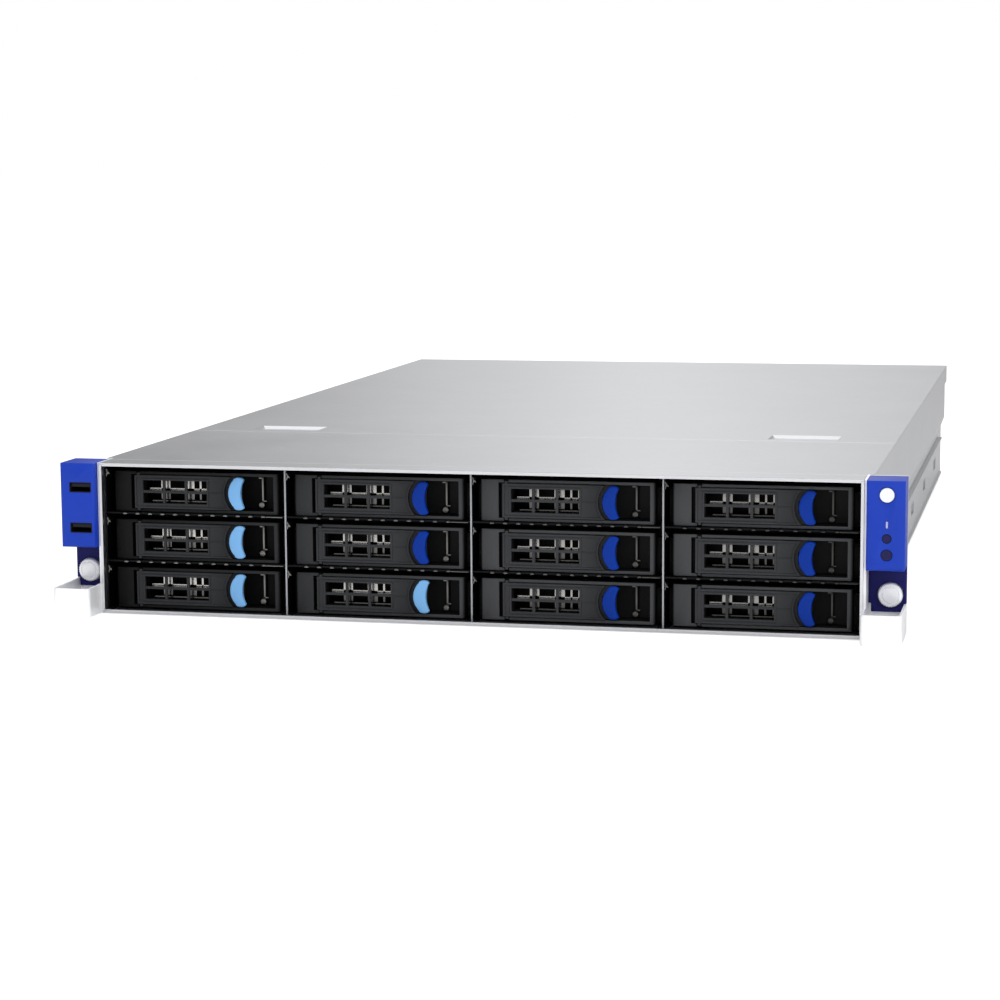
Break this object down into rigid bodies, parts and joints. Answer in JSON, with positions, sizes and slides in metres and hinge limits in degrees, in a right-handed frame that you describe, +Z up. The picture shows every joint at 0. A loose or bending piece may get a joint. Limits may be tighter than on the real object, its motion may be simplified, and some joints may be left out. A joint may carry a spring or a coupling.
{
  "type": "2u rack server",
  "caption": "Rack server two units high: steel chassis with sliding cover, hot-swap front drive carriers with swing levers, rack ears with pull handles and hot-swap power supplies.",
  "frame": {"origin": "centre of the bounding box at the level of the chassis floor", "axes": "+X along the front, to the right as seen from the front; +Y from the front towards the rear; +Z up"},
  "size_m": [0.4826, 0.792, 0.0875],
  "materials": {
    "galvanised_steel": "satin",
    "plated_steel": "satin",
    "blue_plastic": "satin",
    "light_blue_plastic": "gloss",
    "deep_blue_plastic": "gloss",
    "tray_plastic": "matte",
    "dark_plastic": "matte",
    "silver_plastic": "satin",
    "socket_black": "satin",
    "circuit_board": "satin",
    "aluminium_fins": "satin",
    "supply_case": "satin"
  },
  "bodies": {
    "chassis": {"chassis_base": "galvanised_steel", "drive_cage": "galvanised_steel", "front_top_panel": "galvanised_steel", "ear_bracket_left": "plated_steel", "ear_bracket_right": "plated_steel", "ear_bezel_left": "blue_plastic", "ear_bezel_right": "blue_plastic", "usb_ports": "socket_black", "slide_rails": "galvanised_steel", "backplane": "circuit_board", "fan_wall": "galvanised_steel", "motherboard": "circuit_board", "heat_sinks": "aluminium_fins"},
    "top_cover": {"top_cover": "galvanised_steel"},
    "thumbscrew_left": {"thumbscrew_left": "plated_steel"},
    "thumbscrew_right": {"thumbscrew_right": "plated_steel"},
    "power_button": {"power_button": "silver_plastic"},
    "reset_button": {"reset_button": "dark_plastic"},
    "locate_button": {"locate_button": "dark_plastic"},
    "fan_rotor_1": {"fan_rotor_1": "dark_plastic"},
    "fan_rotor_2": {"fan_rotor_2": "dark_plastic"},
    "fan_rotor_3": {"fan_rotor_3": "dark_plastic"},
    "power_supply_1": {"power_supply_1": "supply_case"},
    "power_supply_2": {"power_supply_2": "supply_case"},
    "carrier_r1_c1": {"carrier_r1_c1": "tray_plastic"},
    "lever_r1_c1": {"lever_r1_c1": "tray_plastic"},
    "release_r1_c1": {"release_r1_c1": "light_blue_plastic"},
    "carrier_r1_c2": {"carrier_r1_c2": "tray_plastic"},
    "lever_r1_c2": {"lever_r1_c2": "tray_plastic"},
    "release_r1_c2": {"release_r1_c2": "deep_blue_plastic"},
    "carrier_r1_c3": {"carrier_r1_c3": "tray_plastic"},
    "lever_r1_c3": {"lever_r1_c3": "tray_plastic"},
    "release_r1_c3": {"release_r1_c3": "deep_blue_plastic"},
    "carrier_r1_c4": {"carrier_r1_c4": "tray_plastic"},
    "lever_r1_c4": {"lever_r1_c4": "tray_plastic"},
    "release_r1_c4": {"release_r1_c4": "deep_blue_plastic"},
    "carrier_r2_c1": {"carrier_r2_c1": "tray_plastic"},
    "lever_r2_c1": {"lever_r2_c1": "tray_plastic"},
    "release_r2_c1": {"release_r2_c1": "light_blue_plastic"},
    "carrier_r2_c2": {"carrier_r2_c2": "tray_plastic"},
    "lever_r2_c2": {"lever_r2_c2": "tray_plastic"},
    "release_r2_c2": {"release_r2_c2": "deep_blue_plastic"},
    "carrier_r2_c3": {"carrier_r2_c3": "tray_plastic"},
    "lever_r2_c3": {"lever_r2_c3": "tray_plastic"},
    "release_r2_c3": {"release_r2_c3": "deep_blue_plastic"},
    "carrier_r2_c4": {"carrier_r2_c4": "tray_plastic"},
    "lever_r2_c4": {"lever_r2_c4": "tray_plastic"},
    "release_r2_c4": {"release_r2_c4": "deep_blue_plastic"},
    "carrier_r3_c1": {"carrier_r3_c1": "tray_plastic"},
    "lever_r3_c1": {"lever_r3_c1": "tray_plastic"},
    "release_r3_c1": {"release_r3_c1": "light_blue_plastic"},
    "carrier_r3_c2": {"carrier_r3_c2": "tray_plastic"},
    "lever_r3_c2": {"lever_r3_c2": "tray_plastic"},
    "release_r3_c2": {"release_r3_c2": "light_blue_plastic"},
    "carrier_r3_c3": {"carrier_r3_c3": "tray_plastic"},
    "lever_r3_c3": {"lever_r3_c3": "tray_plastic"},
    "release_r3_c3": {"release_r3_c3": "deep_blue_plastic"},
    "carrier_r3_c4": {"carrier_r3_c4": "tray_plastic"},
    "lever_r3_c4": {"lever_r3_c4": "tray_plastic"},
    "release_r3_c4": {"release_r3_c4": "deep_blue_plastic"}
  },
  "joints": [
    {"name": "top_cover_slide", "type": "slide", "parent": "chassis", "child": "top_cover", "axis": [0, 1, 0], "range_m": [0, 0.02]},
    {"name": "thumbscrew_left_turn", "type": "hinge", "parent": "chassis", "child": "thumbscrew_left", "pos_m": [-0.23255, -0.356, 0.0222], "axis": [0, 1, 0], "continuous": true},
    {"name": "thumbscrew_right_turn", "type": "hinge", "parent": "chassis", "child": "thumbscrew_right", "pos_m": [0.23255, -0.356, 0.0222], "axis": [0, 1, 0], "continuous": true},
    {"name": "power_button_press", "type": "slide", "parent": "chassis", "child": "power_button", "axis": [0, 1, 0], "range_m": [0, 0.001], "stiffness_N_per_m": 600},
    {"name": "reset_button_press", "type": "slide", "parent": "chassis", "child": "reset_button", "axis": [0, 1, 0], "range_m": [0, 0.0008], "stiffness_N_per_m": 600},
    {"name": "locate_button_press", "type": "slide", "parent": "chassis", "child": "locate_button", "axis": [0, 1, 0], "range_m": [0, 0.0008], "stiffness_N_per_m": 600},
    {"name": "fan_rotor_1_spin", "type": "hinge", "parent": "chassis", "child": "fan_rotor_1", "pos_m": [-0.14, -0.15, 0.0422], "axis": [0, 1, 0], "continuous": true},
    {"name": "fan_rotor_2_spin", "type": "hinge", "parent": "chassis", "child": "fan_rotor_2", "pos_m": [0, -0.15, 0.0422], "axis": [0, 1, 0], "continuous": true},
    {"name": "fan_rotor_3_spin", "type": "hinge", "parent": "chassis", "child": "fan_rotor_3", "pos_m": [0.14, -0.15, 0.0422], "axis": [0, 1, 0], "continuous": true},
    {"name": "power_supply_1_slide", "type": "slide", "parent": "chassis", "child": "power_supply_1", "axis": [0, 1, 0], "range_m": [0, 0.24]},
    {"name": "power_supply_2_slide", "type": "slide", "parent": "chassis", "child": "power_supply_2", "axis": [0, 1, 0], "range_m": [0, 0.24]},
    {"name": "carrier_r1_c1_slide", "type": "slide", "parent": "chassis", "child": "carrier_r1_c1", "axis": [0, -1, 0], "range_m": [0, 0.16]},
    {"name": "lever_r1_c1_swing", "type": "hinge", "parent": "carrier_r1_c1", "child": "lever_r1_c1", "pos_m": [-0.1978, -0.3677, 0.0704], "axis": [0, 0, -1], "range_deg": [0, 60]},
    {"name": "release_r1_c1_push", "type": "slide", "parent": "lever_r1_c1", "child": "release_r1_c1", "axis": [-1, 0, 0], "range_m": [0, 0.002], "stiffness_N_per_m": 300},
    {"name": "carrier_r1_c2_slide", "type": "slide", "parent": "chassis", "child": "carrier_r1_c2", "axis": [0, -1, 0], "range_m": [0, 0.16]},
    {"name": "lever_r1_c2_swing", "type": "hinge", "parent": "carrier_r1_c2", "child": "lever_r1_c2", "pos_m": [-0.089, -0.3677, 0.0704], "axis": [0, 0, -1], "range_deg": [0, 60]},
    {"name": "release_r1_c2_push", "type": "slide", "parent": "lever_r1_c2", "child": "release_r1_c2", "axis": [-1, 0, 0], "range_m": [0, 0.002], "stiffness_N_per_m": 300},
    {"name": "carrier_r1_c3_slide", "type": "slide", "parent": "chassis", "child": "carrier_r1_c3", "axis": [0, -1, 0], "range_m": [0, 0.16]},
    {"name": "lever_r1_c3_swing", "type": "hinge", "parent": "carrier_r1_c3", "child": "lever_r1_c3", "pos_m": [0.0198, -0.3677, 0.0704], "axis": [0, 0, -1], "range_deg": [0, 60]},
    {"name": "release_r1_c3_push", "type": "slide", "parent": "lever_r1_c3", "child": "release_r1_c3", "axis": [-1, 0, 0], "range_m": [0, 0.002], "stiffness_N_per_m": 300},
    {"name": "carrier_r1_c4_slide", "type": "slide", "parent": "chassis", "child": "carrier_r1_c4", "axis": [0, -1, 0], "range_m": [0, 0.16]},
    {"name": "lever_r1_c4_swing", "type": "hinge", "parent": "carrier_r1_c4", "child": "lever_r1_c4", "pos_m": [0.1286, -0.3677, 0.0704], "axis": [0, 0, -1], "range_deg": [0, 60]},
    {"name": "release_r1_c4_push", "type": "slide", "parent": "lever_r1_c4", "child": "release_r1_c4", "axis": [-1, 0, 0], "range_m": [0, 0.002], "stiffness_N_per_m": 300},
    {"name": "carrier_r2_c1_slide", "type": "slide", "parent": "chassis", "child": "carrier_r2_c1", "axis": [0, -1, 0], "range_m": [0, 0.16]},
    {"name": "lever_r2_c1_swing", "type": "hinge", "parent": "carrier_r2_c1", "child": "lever_r2_c1", "pos_m": [-0.1978, -0.3677, 0.0423], "axis": [0, 0, -1], "range_deg": [0, 60]},
    {"name": "release_r2_c1_push", "type": "slide", "parent": "lever_r2_c1", "child": "release_r2_c1", "axis": [-1, 0, 0], "range_m": [0, 0.002], "stiffness_N_per_m": 300},
    {"name": "carrier_r2_c2_slide", "type": "slide", "parent": "chassis", "child": "carrier_r2_c2", "axis": [0, -1, 0], "range_m": [0, 0.16]},
    {"name": "lever_r2_c2_swing", "type": "hinge", "parent": "carrier_r2_c2", "child": "lever_r2_c2", "pos_m": [-0.089, -0.3677, 0.0423], "axis": [0, 0, -1], "range_deg": [0, 60]},
    {"name": "release_r2_c2_push", "type": "slide", "parent": "lever_r2_c2", "child": "release_r2_c2", "axis": [-1, 0, 0], "range_m": [0, 0.002], "stiffness_N_per_m": 300},
    {"name": "carrier_r2_c3_slide", "type": "slide", "parent": "chassis", "child": "carrier_r2_c3", "axis": [0, -1, 0], "range_m": [0, 0.16]},
    {"name": "lever_r2_c3_swing", "type": "hinge", "parent": "carrier_r2_c3", "child": "lever_r2_c3", "pos_m": [0.0198, -0.3677, 0.0423], "axis": [0, 0, -1], "range_deg": [0, 60]},
    {"name": "release_r2_c3_push", "type": "slide", "parent": "lever_r2_c3", "child": "release_r2_c3", "axis": [-1, 0, 0], "range_m": [0, 0.002], "stiffness_N_per_m": 300},
    {"name": "carrier_r2_c4_slide", "type": "slide", "parent": "chassis", "child": "carrier_r2_c4", "axis": [0, -1, 0], "range_m": [0, 0.16]},
    {"name": "lever_r2_c4_swing", "type": "hinge", "parent": "carrier_r2_c4", "child": "lever_r2_c4", "pos_m": [0.1286, -0.3677, 0.0423], "axis": [0, 0, -1], "range_deg": [0, 60]},
    {"name": "release_r2_c4_push", "type": "slide", "parent": "lever_r2_c4", "child": "release_r2_c4", "axis": [-1, 0, 0], "range_m": [0, 0.002], "stiffness_N_per_m": 300},
    {"name": "carrier_r3_c1_slide", "type": "slide", "parent": "chassis", "child": "carrier_r3_c1", "axis": [0, -1, 0], "range_m": [0, 0.16]},
    {"name": "lever_r3_c1_swing", "type": "hinge", "parent": "carrier_r3_c1", "child": "lever_r3_c1", "pos_m": [-0.1978, -0.3677, 0.0142], "axis": [0, 0, -1], "range_deg": [0, 60]},
    {"name": "release_r3_c1_push", "type": "slide", "parent": "lever_r3_c1", "child": "release_r3_c1", "axis": [-1, 0, 0], "range_m": [0, 0.002], "stiffness_N_per_m": 300},
    {"name": "carrier_r3_c2_slide", "type": "slide", "parent": "chassis", "child": "carrier_r3_c2", "axis": [0, -1, 0], "range_m": [0, 0.16]},
    {"name": "lever_r3_c2_swing", "type": "hinge", "parent": "carrier_r3_c2", "child": "lever_r3_c2", "pos_m": [-0.089, -0.3677, 0.0142], "axis": [0, 0, -1], "range_deg": [0, 60]},
    {"name": "release_r3_c2_push", "type": "slide", "parent": "lever_r3_c2", "child": "release_r3_c2", "axis": [-1, 0, 0], "range_m": [0, 0.002], "stiffness_N_per_m": 300},
    {"name": "carrier_r3_c3_slide", "type": "slide", "parent": "chassis", "child": "carrier_r3_c3", "axis": [0, -1, 0], "range_m": [0, 0.16]},
    {"name": "lever_r3_c3_swing", "type": "hinge", "parent": "carrier_r3_c3", "child": "lever_r3_c3", "pos_m": [0.0198, -0.3677, 0.0142], "axis": [0, 0, -1], "range_deg": [0, 60]},
    {"name": "release_r3_c3_push", "type": "slide", "parent": "lever_r3_c3", "child": "release_r3_c3", "axis": [-1, 0, 0], "range_m": [0, 0.002], "stiffness_N_per_m": 300},
    {"name": "carrier_r3_c4_slide", "type": "slide", "parent": "chassis", "child": "carrier_r3_c4", "axis": [0, -1, 0], "range_m": [0, 0.16]},
    {"name": "lever_r3_c4_swing", "type": "hinge", "parent": "carrier_r3_c4", "child": "lever_r3_c4", "pos_m": [0.1286, -0.3677, 0.0142], "axis": [0, 0, -1], "range_deg": [0, 60]},
    {"name": "release_r3_c4_push", "type": "slide", "parent": "lever_r3_c4", "child": "release_r3_c4", "axis": [-1, 0, 0], "range_m": [0, 0.002], "stiffness_N_per_m": 300}
  ]
}
